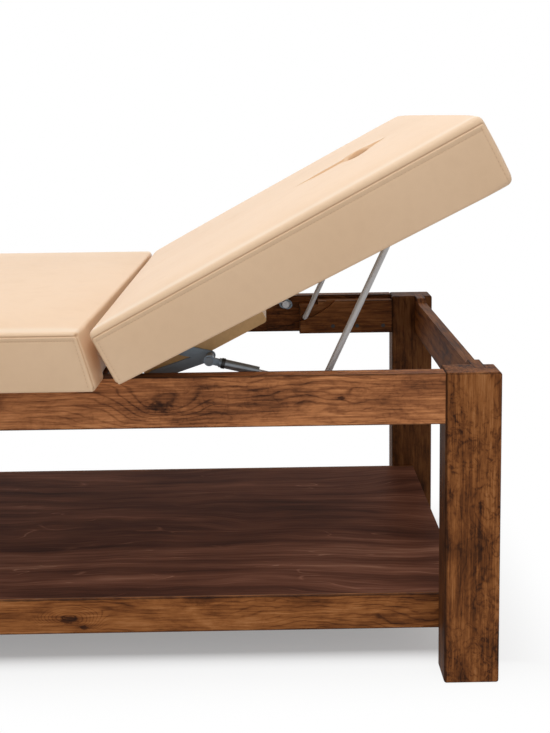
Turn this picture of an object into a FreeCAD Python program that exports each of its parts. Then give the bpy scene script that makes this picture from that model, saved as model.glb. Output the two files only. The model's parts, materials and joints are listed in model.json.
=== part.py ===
# Treatment bed with an open timber frame, a lower shelf and a lifting backrest.
# Millimetres, +Z up. X runs along the bed with the head end at +X, Y runs across it.
# The origin is on the floor, midway along the overall length and on the centre plane.
# The rest pose is the backrest raised and propped; the backrest is drawn flat and turned up last.
import FreeCAD, Part
import math
import os

Vector = FreeCAD.Vector

# Overall sizes
frame_length = 1780.0
frame_width = 662.0
leg_height = 520.0
end_overhang = 55.0
side_overhang = 73.0
cushion_thickness = 92.0
backrest_length = 666.0
hinge_gap = 22.0
back_tilt = 27.5

# Timber sections
leg_length = 90.0
leg_width = 54.0
leg_edge_radius = 4.5
rail_height = 83.0
rail_thickness = 26.0
rail_setback = 2.0
tenon_length = 25.0
tenon_thickness = 12.0
tenon_height = 52.0
end_rail_thickness = 19.0
end_rail_inset = 19.3
end_rail_housing = 25.0
end_rail_drop = 8.8
end_rail_shoulder = 25.0
end_rail_slope = 14.0
lower_rail_height = 60.0
lower_rail_thickness = 24.0
lower_rail_lip = 5.0
shelf_top = 125.5
shelf_thickness = 12.0
shelf_end_inset = 43.0
bearer_width = 40.0
bearer_height = 30.0
bearer_end_margin = 45.0
bearer_count = 4
cross_rail_thickness = 26.0
cross_rail_height = 60.0
cross_rail_count = 2
hinge_rail_thickness = 45.0
timber_edge = 1.0
eased_edge_ratio = 4.0

# Working clearances
wood_clearance = 0.2
soft_clearance = 0.3
screw_clearance = 0.05
running_clearance = 0.05
knuckle_relief = 0.075
cut_overrun = 5.0

# Cushions
board_thickness = 15.0
board_inset = 12.0
base_rake = 23.5
cushion_plan_radius = 16.0
cushion_edge_roll = 9.0
cushion_crown = 4.0
cushion_lift = 0.5
slit_length = 170.0
slit_width = 16.0
slit_from_head = 158.0
board_slot_length = 150.0
board_slot_width = 34.0

# Backrest hinges
pin_setback = 10.0
pin_rise = 30.0
pin_radius = 4.0
knuckle_radius = 8.0
leaf_thickness = 4.0
leaf_width = 64.0
leaf_drop = 46.0
leaf_reach = 42.0
knuckle_width = 20.0
knuckle_gap = 0.4
pin_head_radius = 6.0
pin_head_thickness = 2.0
hinge_inset = 123.0
leaf_row_shares = [0.30, 0.76]
leaf_column_shares = [-0.32, 0.32]
foot_row_shares = [0.36, 0.78]

# Pad under the backrest that carries the lift brackets
pad_start = 10.0
pad_from_head = 435.0
pad_thickness = 48.0
pad_side_gap = 8.0
pad_end_radius = 6.0
leaf_housing_gap = 1.5
pad_screw_bite_share = 0.7
pad_screw_x_shares = [0.14, 0.5, 0.86]
pad_screw_y_shares = [-0.5, 0.5]

# Prop frame
prop_radius = 5.5
prop_foot_drop = 44.25
prop_pivot_from_head = 183.0
prop_pivot_depth = 12.0
prop_side_gap = 7.0
prop_stub_reach = 14.5
prop_corner_radius = 18.0
prop_hook_radius = 7.0
prop_angle = 65.0
prop_ratio = 1.3636
back_extra_lift = 6.0
saddle_length = 30.0
saddle_width = 36.0
saddle_inset = 119.0
saddle_wall = 5.0
saddle_ear = 12.0
prop_running_clearance = 0.1

# Guide blocks for the feet of the prop frame
block_foot_lip = 12.0
block_height = 74.0
block_thickness = 27.0
block_top_gap = 8.0
groove_depth = 8.0
groove_seat = 0.6
groove_relief = 2.6
block_step = 9.0
block_step_length = 42.0
block_screw_x_shares = [0.36, 0.62, 0.90]
block_screw_z_share = 0.22
block_screw_bite = 12.0

# Gas struts that pull the backrest up
strut_rail_gap = 11.0
strut_pivot_along = 121.0
strut_pivot_depth = 53.7
strut_anchor_from_pin = 291.0
strut_anchor_drop = 17.0
strut_eye_radius = 9.0
strut_eye_thickness = 6.0
strut_eye_side_gap = 0.3
strut_neck_length = 20.0
strut_neck_share = 0.62
strut_flange_length = 4.0
strut_collar_radius = 8.5
strut_collar_length = 6.0
strut_tube_radius = 7.5
strut_tube_wall = 1.6
strut_tube_length = 62.0
strut_cap_length = 6.0
strut_rod_radius = 3.5
strut_piston_length = 6.0
strut_piston_start = 20.0
stud_radius = 3.0
stud_head_radius = 8.0
stud_head_thickness = 2.0
stud_flange_radius = 11.0
stud_flange_thickness = 3.0
stud_bite = 14.0
stud_side_gap = 2.0
slot_slack_along = 8.4
slot_slack_across = 3.8
slot_plate_rim = 3.5
slot_plate_thickness = 5.0
lift_stud_radius = 4.0
lift_stud_collar_radius = 7.0
lift_stud_head_radius = 6.5
lift_stud_head_thickness = 2.0
bracket_thickness = 4.0
bracket_bar_width = 17.0
bracket_foot_from_pad_end = 12.0
bracket_foot_from_pad_face = 9.5
bracket_low_foot = (pad_start + bracket_foot_from_pad_end, pad_thickness - bracket_foot_from_pad_face)
bracket_high_foot = (72.0, 13.0)

# Fasteners
bolt_radius = 4.0
bolt_head_radius = 8.0
bolt_head_height = 5.0
bolt_socket_share = 0.7
bolt_into_rail = 62.0
barrel_nut_radius = 6.0
barrel_nut_length = 18.0
barrel_nut_inset = 42.0
lower_bolt_spread = 26.0
lower_bolt_depth = 34.0
dowel_radius = 5.0
dowel_length = 36.0
dowel_spread = 28.0
screw_radius = 2.2
screw_head_radius = 4.2
screw_head_height = 2.2
screw_length = 13.0
long_screw_length = 62.0
long_screw_sink = 10.0
bearer_screw_y_shares = [-0.8, 0.0, 0.8]
board_screw_y_shares = [-0.7, 0.0, 0.7]

# Places worked out from the sizes above
frame_half = frame_width / 2
head_x = (frame_length + end_overhang) / 2
foot_x = head_x - frame_length
cushion_half = frame_half + side_overhang
head_leg_inner = head_x - leg_length
foot_leg_inner = foot_x + leg_length
leg_inner_y = frame_half - leg_width
rail_outer_y = frame_half - rail_setback
rail_inner_y = rail_outer_y - rail_thickness
rail_middle_y = (rail_outer_y + rail_inner_y) / 2
rail_bottom = leg_height - rail_height
block_inner_y = rail_inner_y - block_thickness
prop_half_width = block_inner_y - prop_side_gap
pad_half_width = prop_half_width - pad_side_gap
strut_plane = rail_inner_y - strut_rail_gap
back_start = head_x + end_overhang - backrest_length
back_end = back_start + backrest_length
base_end = back_start - hinge_gap
base_start = foot_x - end_overhang
pin_x = back_start - pin_setback
pin_z = leg_height + pin_rise
pin_point = Vector(pin_x, 0, pin_z)
hinge_rail_face = pin_x - knuckle_radius
head_rail_outer = head_x - end_rail_inset
head_rail_inner = head_rail_outer - end_rail_thickness
shelf_head = head_x - shelf_end_inset
shelf_foot = foot_x + shelf_end_inset
shelf_under = shelf_top - shelf_thickness
lower_rail_bottom = shelf_top - lower_rail_height
lower_rail_inner_y = leg_inner_y - lower_rail_thickness
shelf_half = leg_inner_y - lower_rail_lip
hinge_y = rail_inner_y - hinge_inset
saddle_y = prop_half_width - saddle_inset
across = Vector(0, 1, 0)
axis_x = Vector(1, 0, 0)
axis_z = Vector(0, 0, 1)

parts = {}


def box(x0, x1, y0, y1, z0, z1):
    return Part.makeBox(x1 - x0, y1 - y0, z1 - z0, Vector(x0, y0, z0))


def rod_y(x, z, radius, y0, y1):
    return Part.makeCylinder(radius, y1 - y0, Vector(x, y0, z), across)


def rod_x(y, z, radius, x0, x1):
    return Part.makeCylinder(radius, x1 - x0, Vector(x0, y, z), axis_x)


def rod_z(x, y, radius, z0, z1):
    return Part.makeCylinder(radius, z1 - z0, Vector(x, y, z0), axis_z)


def mirrored(shape):
    return shape.mirror(Vector(0, 0, 0), across)


def mirrored_end(shape):
    middle = (head_x + foot_x) / 2
    return shape.mirror(Vector(middle, 0, 0), axis_x)


def pair(name, shape):
    parts[name + "_near"] = shape
    parts[name + "_far"] = mirrored(shape)


def turned(point, centre, degrees):
    """Turn an XZ point about a centre, positive from +X towards +Z."""
    a = math.radians(degrees)
    dx = point[0] - centre[0]
    dz = point[1] - centre[1]
    return (centre[0] + dx * math.cos(a) - dz * math.sin(a),
            centre[1] + dx * math.sin(a) + dz * math.cos(a))


def raised(shape):
    """Turn a shape drawn with the backrest flat up to the rest pose."""
    copy = shape.copy()
    copy.rotate(pin_point, across, -back_tilt)
    return copy


def eased(shape, radius):
    """Round every long edge of a timber by a small radius."""
    long_edges = [e for e in shape.Edges
                  if e.Length > eased_edge_ratio * radius and e.Curve.TypeId == "Part::GeomLine"]
    return shape.makeFillet(radius, long_edges)


def bar_outline(p, q, width, y0, y1):
    """Flat bar with rounded ends between two XZ points."""
    dx = q[0] - p[0]
    dz = q[1] - p[1]
    run = math.hypot(dx, dz)
    half = width / 2
    nx = -dz / run * half
    nz = dx / run * half
    ux = dx / run * half
    uz = dz / run * half
    a = Vector(p[0] + nx, y0, p[1] + nz)
    b = Vector(q[0] + nx, y0, q[1] + nz)
    c = Vector(q[0] - nx, y0, q[1] - nz)
    d = Vector(p[0] - nx, y0, p[1] - nz)
    tip = Vector(q[0] + ux, y0, q[1] + uz)
    tail = Vector(p[0] - ux, y0, p[1] - uz)
    edges = [Part.LineSegment(a, b).toShape(), Part.Arc(b, tip, c).toShape(),
             Part.LineSegment(c, d).toShape(), Part.Arc(d, tail, a).toShape()]
    return Part.Face(Part.Wire(edges)).extrude(Vector(0, y1 - y0, 0))


def rounded_plan(x0, x1, half, radius, z):
    """Rounded rectangle wire at one height, as four lines and four quarter arcs."""
    k = radius * (1 - math.sqrt(0.5))
    y0 = -half
    y1 = half
    edges = [
        Part.LineSegment(Vector(x0 + radius, y0, z), Vector(x1 - radius, y0, z)),
        Part.Arc(Vector(x1 - radius, y0, z), Vector(x1 - k, y0 + k, z), Vector(x1, y0 + radius, z)),
        Part.LineSegment(Vector(x1, y0 + radius, z), Vector(x1, y1 - radius, z)),
        Part.Arc(Vector(x1, y1 - radius, z), Vector(x1 - k, y1 - k, z), Vector(x1 - radius, y1, z)),
        Part.LineSegment(Vector(x1 - radius, y1, z), Vector(x0 + radius, y1, z)),
        Part.Arc(Vector(x0 + radius, y1, z), Vector(x0 + k, y1 - k, z), Vector(x0, y1 - radius, z)),
        Part.LineSegment(Vector(x0, y1 - radius, z), Vector(x0, y0 + radius, z)),
        Part.Arc(Vector(x0, y0 + radius, z), Vector(x0 + k, y0 + k, z), Vector(x0 + radius, y0, z)),
    ]
    return Part.Wire([e.toShape() for e in edges])


# Share of the thickness, then how far the outline is drawn in, in shares of the edge roll
cushion_profile_shares = [(0.0, 0.75), (0.04, 0.22), (0.10, 0.0), (0.30, 0.16), (0.52, 0.22),
                          (0.74, 0.14), (0.88, 0.0), (0.955, 0.24), (1.0, 1.1)]
# Share of the crown's height, then how far in it lies, in shares of the half width
cushion_crown_shares = [(0.45, 0.10), (0.80, 0.26), (1.0, 0.52)]


def cushion_form(x0, x1, rake):
    """Crowned pad with rolled edges and sides drawn in between the seams."""
    low = leg_height + cushion_lift
    top = leg_height + cushion_thickness - cushion_crown
    draw = cushion_edge_roll
    wires = []
    for height_share, inset_share in cushion_profile_shares:
        z = low + (top - low) * height_share
        inset = draw * inset_share
        end = x1 - rake * (z - leg_height) / cushion_thickness
        wires.append(rounded_plan(x0 + inset, end - inset, cushion_half - inset,
                                  cushion_plan_radius, z))
    last_inset = draw * cushion_profile_shares[-1][1]
    for rise_share, in_share in cushion_crown_shares:
        z = top + cushion_crown * rise_share
        inset = last_inset + in_share * cushion_half
        end = x1 - rake * (z - leg_height) / cushion_thickness
        wires.append(rounded_plan(x0 + inset, end - inset, cushion_half - inset,
                                  cushion_plan_radius, z))
    return Part.makeLoft(wires, True, True)


def board_form(x0, x1):
    """Plywood panel under a cushion."""
    panel = box(x0 + board_inset, x1 - board_inset, board_inset - cushion_half,
                cushion_half - board_inset, leg_height, leg_height + board_thickness)
    return panel


def board_pocket(x0, x1):
    """Room for the panel inside the cushion's skirt."""
    gap = board_inset - soft_clearance
    return box(x0 + gap, x1 - gap, gap - cushion_half, cushion_half - gap,
               leg_height - cut_overrun, leg_height + board_thickness + soft_clearance)


def slit_form(length, width, z0, z1):
    """Pointed lens that is the breathing slit, as a prism."""
    middle = back_end - slit_from_head
    left = Vector(middle - length / 2, 0, z0)
    right = Vector(middle + length / 2, 0, z0)
    near = Part.Arc(left, Vector(middle, -width / 2, z0), right).toShape()
    far = Part.Arc(right, Vector(middle, width / 2, z0), left).toShape()
    return Part.Face(Part.Wire([near, far])).extrude(Vector(0, 0, z1 - z0))


def screw_down(x, y, z, length):
    """Screw driven upwards, head at the bottom."""
    head = rod_z(x, y, screw_head_radius, z - screw_head_height, z)
    return head.fuse(rod_z(x, y, screw_radius, z, z + length))


def screw_hole_up(x, y, z, length):
    return rod_z(x, y, screw_radius + screw_clearance, z - cut_overrun, z + length + screw_clearance)


# Bolt and dowel places
upper_bolt_z = leg_height - rail_height / 2
lower_bolt_z = lower_rail_bottom + (shelf_under - lower_rail_bottom) / 2


def upper_bolt():
    head = rod_x(-rail_middle_y, upper_bolt_z, bolt_head_radius, head_x - bolt_head_height, head_x)
    shank_start = head_leg_inner - bolt_into_rail
    shank = rod_x(-rail_middle_y, upper_bolt_z, bolt_radius, shank_start, head_x - bolt_head_height)
    socket = rod_x(-rail_middle_y, upper_bolt_z, bolt_radius * bolt_socket_share,
                   head_x - bolt_head_height / 2, head_x + cut_overrun)
    return head.fuse(shank).cut(socket)


def upper_bolt_hole():
    wide = bolt_head_radius + wood_clearance
    head = rod_x(-rail_middle_y, upper_bolt_z, wide, head_x - bolt_head_height, head_x + cut_overrun)
    start = head_leg_inner - bolt_into_rail - wood_clearance
    shank = rod_x(-rail_middle_y, upper_bolt_z, bolt_radius + wood_clearance, start, head_x)
    return head.fuse(shank)


def barrel_nut():
    x = head_leg_inner - barrel_nut_inset
    body = rod_y(x, upper_bolt_z, barrel_nut_radius, -rail_inner_y - barrel_nut_length, -rail_inner_y)
    reach = barrel_nut_radius + cut_overrun
    bore = rod_x(-rail_middle_y, upper_bolt_z, bolt_radius + screw_clearance, x - reach, x + reach)
    return body.cut(bore)


def barrel_nut_hole():
    x = head_leg_inner - barrel_nut_inset
    return rod_y(x, upper_bolt_z, barrel_nut_radius + wood_clearance,
                 -rail_inner_y - barrel_nut_length, -rail_inner_y + cut_overrun)


def lower_bolt(x):
    face = -lower_rail_inner_y
    head = rod_y(x, lower_bolt_z, bolt_head_radius, face, face + bolt_head_height)
    socket = rod_y(x, lower_bolt_z, bolt_radius * bolt_socket_share, face + bolt_head_height / 2,
                   face + bolt_head_height + cut_overrun)
    shank = rod_y(x, lower_bolt_z, bolt_radius, -leg_inner_y - lower_bolt_depth, face)
    return head.fuse(shank).cut(socket)


def lower_bolt_hole(x):
    start = -leg_inner_y - lower_bolt_depth - wood_clearance
    return rod_y(x, lower_bolt_z, bolt_radius + wood_clearance, start, -lower_rail_inner_y + cut_overrun)


# The lower bolts stay where rail and leg overlap
lower_overlap_middle = (head_leg_inner + shelf_head) / 2
lower_bolt_places = [lower_overlap_middle - lower_bolt_spread / 2,
                     lower_overlap_middle + lower_bolt_spread / 2]


def make_legs():
    """Four solid legs with a mortise for the long rail and a housing for the end rail."""
    leg = box(head_leg_inner, head_x, -frame_half, -leg_inner_y, 0, leg_height)
    leg = eased(leg, leg_edge_radius)
    half_t = tenon_thickness / 2 + wood_clearance
    half_h = tenon_height / 2 + wood_clearance
    mortise = box(head_leg_inner - cut_overrun, head_leg_inner + tenon_length + wood_clearance,
                  -rail_middle_y - half_t, -rail_middle_y + half_t,
                  upper_bolt_z - half_h, upper_bolt_z + half_h)
    housing = box(head_rail_inner - wood_clearance, head_rail_outer + wood_clearance,
                  -leg_inner_y - end_rail_housing - wood_clearance, -leg_inner_y + cut_overrun,
                  rail_bottom - wood_clearance, leg_height + cut_overrun)
    cuts = [mortise, housing, upper_bolt_hole()]
    cuts += [lower_bolt_hole(x) for x in lower_bolt_places]
    leg = leg.cut(cuts)
    pair("leg_head", leg)
    pair("leg_foot", mirrored_end(leg))


# Cross rails: the hinge rail, then the others evenly spaced towards the foot
cross_rail_bottom = leg_height - cross_rail_height
hinge_rail_back = hinge_rail_face - hinge_rail_thickness
cross_rail_last = foot_leg_inner + leg_length
cross_rail_step = (hinge_rail_back - cross_rail_last) / cross_rail_count
cross_rails = [("hinge_rail", hinge_rail_back, hinge_rail_thickness)]
cross_rails += [("cross_rail_%d" % i, hinge_rail_back - cross_rail_step * i, cross_rail_thickness)
                for i in range(1, cross_rail_count + 1)]
dowel_heights = [leg_height - cross_rail_height / 2 - dowel_spread / 2,
                 leg_height - cross_rail_height / 2 + dowel_spread / 2]


def dowels(extra):
    """Dowels through the joint between each cross rail and the long rails."""
    half = dowel_length / 2 + extra
    found = []
    for _, x, thickness in cross_rails:
        for z in dowel_heights:
            middle = x + thickness / 2
            found.append(rod_y(middle, z, dowel_radius + extra, -rail_inner_y - half, -rail_inner_y + half))
    return found


def make_long_rails():
    """Two deep rails that run from leg to leg on tenons."""
    rail = box(foot_leg_inner, head_leg_inner, -rail_outer_y, -rail_inner_y, rail_bottom, leg_height)
    rail = eased(rail, timber_edge)
    half_t = tenon_thickness / 2
    half_h = tenon_height / 2
    tenon = box(head_leg_inner - timber_edge, head_leg_inner + tenon_length,
                -rail_middle_y - half_t, -rail_middle_y + half_t,
                upper_bolt_z - half_h, upper_bolt_z + half_h)
    rail = rail.fuse([tenon, mirrored_end(tenon)])
    holes = [upper_bolt_hole(), barrel_nut_hole()]
    holes += [mirrored_end(h) for h in holes]
    holes += dowels(screw_clearance)
    for x, z in block_screw_places():
        holes.append(rod_y(x, z, screw_radius + screw_clearance,
                           -rail_inner_y - block_screw_bite - screw_clearance, -rail_inner_y + cut_overrun))
    anchor_hole = rod_y(anchor[0], anchor[1], stud_radius + screw_clearance,
                        -rail_inner_y - stud_bite, -rail_inner_y + cut_overrun)
    holes.append(anchor_hole)
    pair("long_rail", rail.cut(holes))


def make_end_rails():
    """Thin boards on edge, housed in the leg tops and cut lower between the legs."""
    outer = leg_inner_y + end_rail_housing
    shoulder = leg_inner_y - end_rail_shoulder
    foot = shoulder - end_rail_slope
    low = leg_height - end_rail_drop
    points = [(-outer, rail_bottom), (outer, rail_bottom), (outer, leg_height), (shoulder, leg_height),
              (foot, low), (-foot, low), (-shoulder, leg_height), (-outer, leg_height)]
    corners = [Vector(head_rail_inner, y, z) for y, z in points]
    wire = Part.makePolygon(corners + corners[:1])
    rail = Part.Face(wire).extrude(Vector(end_rail_thickness, 0, 0))
    parts["end_rail_head"] = rail
    parts["end_rail_foot"] = mirrored_end(rail)


def bearer_places():
    first = shelf_foot + bearer_end_margin
    last = shelf_head - bearer_end_margin - bearer_width
    step = (last - first) / (bearer_count - 1)
    return [first + step * i for i in range(bearer_count)]


def make_shelf():
    """Lower rails, the shelf panel let into them, and the bearers under it."""
    rail = box(shelf_foot, shelf_head, -leg_inner_y, -lower_rail_inner_y, lower_rail_bottom, shelf_top)
    rebate = box(shelf_foot - cut_overrun, shelf_head + cut_overrun, -shelf_half,
                 -lower_rail_inner_y + cut_overrun, shelf_under, shelf_top + cut_overrun)
    holes = [lower_bolt_hole(x) for x in lower_bolt_places]
    holes += [mirrored_end(h) for h in holes]
    pair("lower_rail", rail.cut([rebate] + holes))
    panel_half = shelf_half - soft_clearance
    panel = box(shelf_foot, shelf_head, -panel_half, panel_half, shelf_under, shelf_top)
    screws = []
    panel_holes = []
    for number, x in enumerate(bearer_places(), 1):
        bearer = box(x, x + bearer_width, -lower_rail_inner_y, lower_rail_inner_y,
                     shelf_under - bearer_height, shelf_under)
        holes = []
        for share in bearer_screw_y_shares:
            place = (x + bearer_width / 2, lower_rail_inner_y * share, shelf_under - bearer_height)
            reach = bearer_height + shelf_thickness / 2
            screws.append(screw_down(place[0], place[1], place[2], reach))
            holes.append(screw_hole_up(place[0], place[1], place[2], reach))
        parts["shelf_bearer_%d" % number] = bearer.cut(holes)
        panel_holes += holes
    parts["shelf_panel"] = panel.cut(panel_holes)
    parts["bearer_screws"] = Part.makeCompound(screws)


def make_frame_bolts():
    """Head bolts with barrel nuts for the long rails and bolts for the lower rails."""
    corner = [upper_bolt()] + [lower_bolt(x) for x in lower_bolt_places]
    one_side = corner + [mirrored_end(b) for b in corner]
    parts["frame_bolts"] = Part.makeCompound(one_side + [mirrored(b) for b in one_side])
    nuts = [barrel_nut(), mirrored_end(barrel_nut())]
    parts["barrel_nuts"] = Part.makeCompound(nuts + [mirrored(n) for n in nuts])


def board_screw_places():
    """Through the middle of each rail's stretch under the board."""
    found = []
    for _, x, thickness in cross_rails:
        middle = (x + min(x + thickness, base_end - board_inset)) / 2
        found += [(middle, rail_inner_y * share) for share in board_screw_y_shares]
    return found


def board_screw_hole(x, y):
    sink = rod_z(x, y, screw_head_radius + wood_clearance, cross_rail_bottom - cut_overrun,
                 cross_rail_bottom + long_screw_sink)
    shank = rod_z(x, y, screw_radius + screw_clearance, cross_rail_bottom,
                  cross_rail_bottom + long_screw_sink + long_screw_length + screw_clearance)
    return sink.fuse(shank)


def make_cross_rails():
    """Cross rails doweled between the long rails, with screws up into the base board."""
    joints = dowels(screw_clearance)
    joints += [mirrored(d) for d in joints]
    screw_holes = [board_screw_hole(x, y) for x, y in board_screw_places()]
    leaf_holes = [frame_leaf_screw_hole(y, z) for y, z in frame_leaf_screw_places()]
    for name, x, thickness in cross_rails:
        rail = box(x, x + thickness, -rail_inner_y, rail_inner_y, cross_rail_bottom, leg_height)
        cuts = joints + screw_holes
        if name == "hinge_rail":
            cuts = cuts + leaf_holes
        parts[name] = rail.cut(cuts)
    half_dowels = dowels(0)
    parts["dowels"] = Part.makeCompound(half_dowels + [mirrored(d) for d in half_dowels])
    screws = []
    for x, y in board_screw_places():
        screws.append(screw_down(x, y, cross_rail_bottom + long_screw_sink, long_screw_length))
    parts["base_board_screws"] = Part.makeCompound(screws)
    board = board_form(base_start, base_end)
    parts["base_board"] = board.cut(screw_holes)


def make_base_cushion():
    form = cushion_form(base_start, base_end, base_rake)
    parts["base_cushion"] = form.cut(board_pocket(base_start, base_end))


def make_backrest():
    """Board and cushion of the backrest, with the breathing slit through both."""
    middle = back_end - slit_from_head
    slot = bar_outline((middle - (board_slot_length - board_slot_width) / 2, 0),
                       (middle + (board_slot_length - board_slot_width) / 2, 0),
                       board_slot_width, 0, board_thickness + cut_overrun * 2)
    slot.rotate(Vector(0, 0, 0), axis_x, 90)
    slot.translate(Vector(0, 0, leg_height - cut_overrun))
    board = board_form(back_start, back_end).cut(slot)
    holes = [screw_hole_up(x, y, z, screw_length) for x, y, z in saddle_screw_places()]
    holes += [screw_hole_up(x, y, z, screw_length) for x, y, z in board_leaf_screw_places()]
    holes += [screw_hole_up(x, y, z, pad_screw_reach()) for x, y, z in pad_screw_places()]
    parts["backrest_board"] = raised(board.cut(holes))
    form = cushion_form(back_start, back_end, 0)
    slit = slit_form(slit_length, slit_width, leg_height - cut_overrun,
                     leg_height + cushion_thickness + cut_overrun)
    parts["backrest_cushion"] = raised(form.cut([board_pocket(back_start, back_end), slit]))


# Backrest hinges: two steel butt hinges that stand in the gap between the cushions
def frame_leaf_screw_places():
    rows = [leg_height - leaf_drop * share for share in leaf_row_shares]
    return [(hinge_y + leaf_width * share, z) for z in rows for share in leaf_column_shares]


def frame_leaf_screw_hole(y, z):
    near = rod_x(-y, z, screw_radius + screw_clearance, hinge_rail_face - screw_length - screw_clearance,
                 hinge_rail_face + leaf_thickness + cut_overrun)
    return near.fuse(mirrored(near))


def board_leaf_screw_places():
    rows = [back_start + leaf_reach * share for share in foot_row_shares]
    z = leg_height - leaf_thickness
    near = [(x, -(hinge_y + leaf_width * share), z) for x in rows for share in leaf_column_shares]
    return near + [(x, -y, z) for x, y, z in near]


def make_hinges():
    half = leaf_width / 2
    y0 = -hinge_y - half
    y1 = -hinge_y + half
    middle_half = knuckle_width / 2
    bore = rod_y(pin_x, pin_z, pin_radius + running_clearance, y0 - cut_overrun, y1 + cut_overrun)
    plate = box(hinge_rail_face, hinge_rail_face + leaf_thickness, y0, y1, leg_height - leaf_drop, pin_z)
    barrel = rod_y(pin_x, pin_z, knuckle_radius, y0, y1)
    clear = knuckle_radius + knuckle_relief
    gap = rod_y(pin_x, pin_z, clear, -hinge_y - middle_half - knuckle_gap,
                -hinge_y + middle_half + knuckle_gap)
    gap_low = box(pin_x - clear, pin_x + clear, -hinge_y - middle_half - knuckle_gap,
                  -hinge_y + middle_half + knuckle_gap, pin_z - clear, pin_z + clear)
    holes = [frame_leaf_screw_hole(y, z) for y, z in frame_leaf_screw_places()]
    frame_leaf = plate.fuse(barrel).cut([bore, gap, gap_low] + holes).removeSplitter()
    pair("hinge_frame_leaf", frame_leaf)
    right = pin_x + knuckle_radius
    stem = box(right - leaf_thickness, right, -hinge_y - middle_half, -hinge_y + middle_half,
               leg_height - leaf_thickness, pin_z)
    foot = box(right - leaf_thickness, back_start + leaf_reach, y0, y1,
               leg_height - leaf_thickness, leg_height)
    knuckle = rod_y(pin_x, pin_z, knuckle_radius, -hinge_y - middle_half, -hinge_y + middle_half)
    holes = [screw_hole_up(x, y, z, screw_length) for x, y, z in board_leaf_screw_places()]
    back_leaf = stem.fuse([foot, knuckle]).cut([bore] + holes).removeSplitter()
    pair("hinge_back_leaf", raised(back_leaf))
    pin = rod_y(pin_x, pin_z, pin_radius, y0, y1)
    heads = [rod_y(pin_x, pin_z, pin_head_radius, y0 - pin_head_thickness, y0),
             rod_y(pin_x, pin_z, pin_head_radius, y1, y1 + pin_head_thickness)]
    pair("hinge_pin", pin.fuse(heads))
    screws = []
    for y, z in frame_leaf_screw_places():
        face = hinge_rail_face + leaf_thickness
        near = rod_x(-y, z, screw_radius, hinge_rail_face - screw_length, face)
        near = near.fuse(rod_x(-y, z, screw_head_radius, face, face + screw_head_height))
        screws += [near, mirrored(near)]
    parts["hinge_rail_screws"] = Part.makeCompound(screws)


# Pad under the backrest
pad_left = back_start + pad_start
pad_right = back_end - pad_from_head
pad_low = leg_height - pad_thickness


def pad_screw_places():
    run = pad_right - pad_left
    return [(pad_left + run * a, pad_half_width * b, pad_low)
            for a in pad_screw_x_shares for b in pad_screw_y_shares]


def pad_screw_reach():
    return pad_thickness + board_thickness * pad_screw_bite_share


def make_pad():
    """Timber pad with eased ends, housed around the hinge leaves, that carries the lift brackets."""
    pad = box(pad_left, pad_right, -pad_half_width, pad_half_width, pad_low, leg_height)
    low_edges = [e for e in pad.Edges
                 if abs(e.CenterOfMass.z - pad_low) < timber_edge
                 and e.Length > pad_half_width]
    pad = pad.makeFillet(pad_end_radius, low_edges)
    holes = [screw_hole_up(x, y, z, pad_screw_reach()) for x, y, z in pad_screw_places()]
    for x, z in bracket_screw_places():
        near = rod_y(x, z, screw_radius + screw_clearance, -pad_half_width - cut_overrun,
                     -pad_half_width + screw_length + screw_clearance)
        holes += [near, mirrored(near)]
    housing = box(pad_left - cut_overrun, back_start + leaf_reach + leaf_housing_gap,
                  -pad_half_width - cut_overrun, -hinge_y + leaf_width / 2 + leaf_housing_gap,
                  leg_height - leaf_thickness - screw_head_height - leaf_housing_gap,
                  leg_height + cut_overrun)
    holes += [housing, mirrored(housing)]
    parts["lift_pad"] = raised(pad.cut(holes))
    screws = [screw_down(x, y, z, pad_screw_reach()) for x, y, z in pad_screw_places()]
    parts["pad_screws"] = raised(Part.makeCompound(screws))


# Places of the prop and the strut, in the XZ plane
prop_pivot_flat = (back_end - prop_pivot_from_head, leg_height - prop_pivot_depth)
lift_pivot_flat = (back_start + strut_pivot_along, leg_height - strut_pivot_depth)
pin_xz = (pin_x, pin_z)
anchor = (pin_x + strut_anchor_from_pin, leg_height - strut_anchor_drop)
prop_pivot = turned(prop_pivot_flat, pin_xz, back_tilt)
prop_foot_z = leg_height - prop_foot_drop
prop_length = (prop_pivot[1] - prop_foot_z) / math.sin(math.radians(prop_angle))


def prop_foot(tilt):
    """Centre of the prop's feet when the backrest stands at this tilt from flat."""
    pivot = turned(prop_pivot_flat, pin_xz, tilt)
    lean = 180 + prop_angle + (1 + prop_ratio) * (tilt - back_tilt)
    return (pivot[0] + prop_length * math.cos(math.radians(lean)),
            pivot[1] + prop_length * math.sin(math.radians(lean)))


def make_prop():
    """One bent rod: a cross bar, two side rods and two feet turned outwards."""
    pivot = prop_pivot
    foot = prop_foot(back_tilt)
    ux = (foot[0] - pivot[0]) / prop_length
    uz = (foot[1] - pivot[1]) / prop_length
    w = prop_half_width
    c = prop_corner_radius
    h = prop_hook_radius
    kc = c * (1 - math.sqrt(0.5))
    kh = h * (1 - math.sqrt(0.5))

    def at(run, y):
        return Vector(pivot[0] + ux * run, y, pivot[1] + uz * run)

    end = prop_length
    tip = w + prop_stub_reach
    edges = [
        Part.LineSegment(at(end, -tip), at(end, -w - h)),
        Part.Arc(at(end, -w - h), at(end - kh, -w - kh), at(end - h, -w)),
        Part.LineSegment(at(end - h, -w), at(c, -w)),
        Part.Arc(at(c, -w), at(kc, -w + kc), at(0, -w + c)),
        Part.LineSegment(at(0, -w + c), at(0, w - c)),
        Part.Arc(at(0, w - c), at(kc, w - kc), at(c, w)),
        Part.LineSegment(at(c, w), at(end - h, w)),
        Part.Arc(at(end - h, w), at(end - kh, w + kh), at(end, w + h)),
        Part.LineSegment(at(end, w + h), at(end, tip)),
    ]
    path = Part.Wire([e.toShape() for e in edges])
    ring = Part.Wire(Part.Circle(at(end, -tip), across, prop_radius).toShape())
    parts["prop_frame"] = path.makePipeShell([ring], True, True)


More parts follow.
